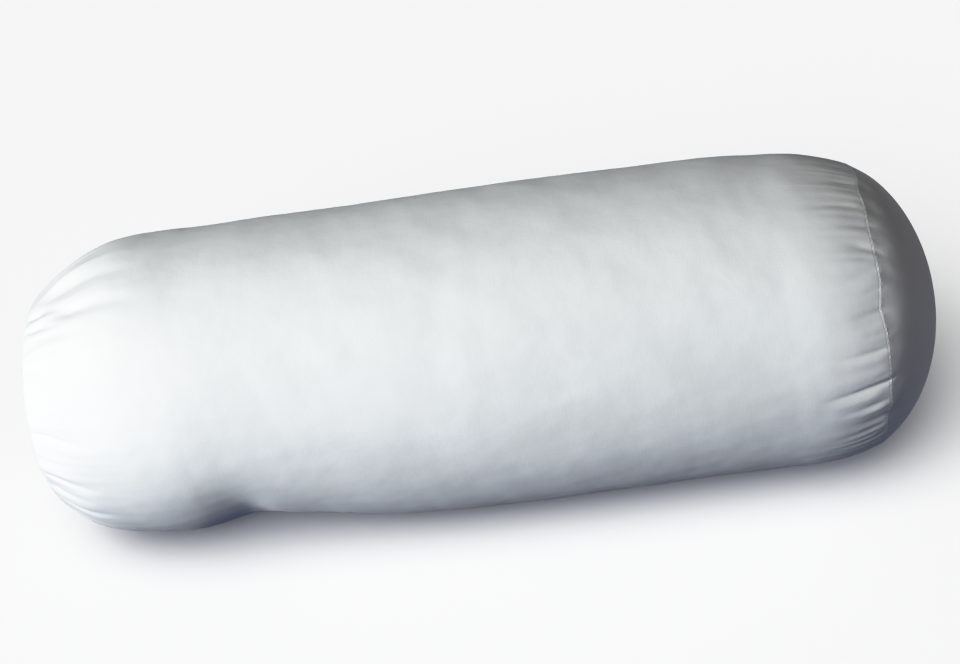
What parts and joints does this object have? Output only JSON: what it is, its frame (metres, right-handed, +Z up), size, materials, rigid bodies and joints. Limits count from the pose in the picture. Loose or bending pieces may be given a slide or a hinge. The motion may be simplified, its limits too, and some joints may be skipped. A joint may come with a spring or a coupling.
{
  "type": "neck roll pillow",
  "caption": "White cotton bolster, a firmly filled round roll with gathered round end panels, resting on its side.",
  "frame": {"origin": "on the resting surface, under the middle of the roll's bounding box", "axes": "+X along the roll towards its fuller end, -Y the front side that the picture shows, +Z up from the surface"},
  "size_m": [0.446, 0.157, 0.1499],
  "materials": {
    "white_cotton": "matte plain weave"
  },
  "bodies": {
    "root": {"filled_body": "white_cotton", "end_panel_left": "white_cotton", "end_panel_right": "white_cotton"}
  },
  "joints": []
}
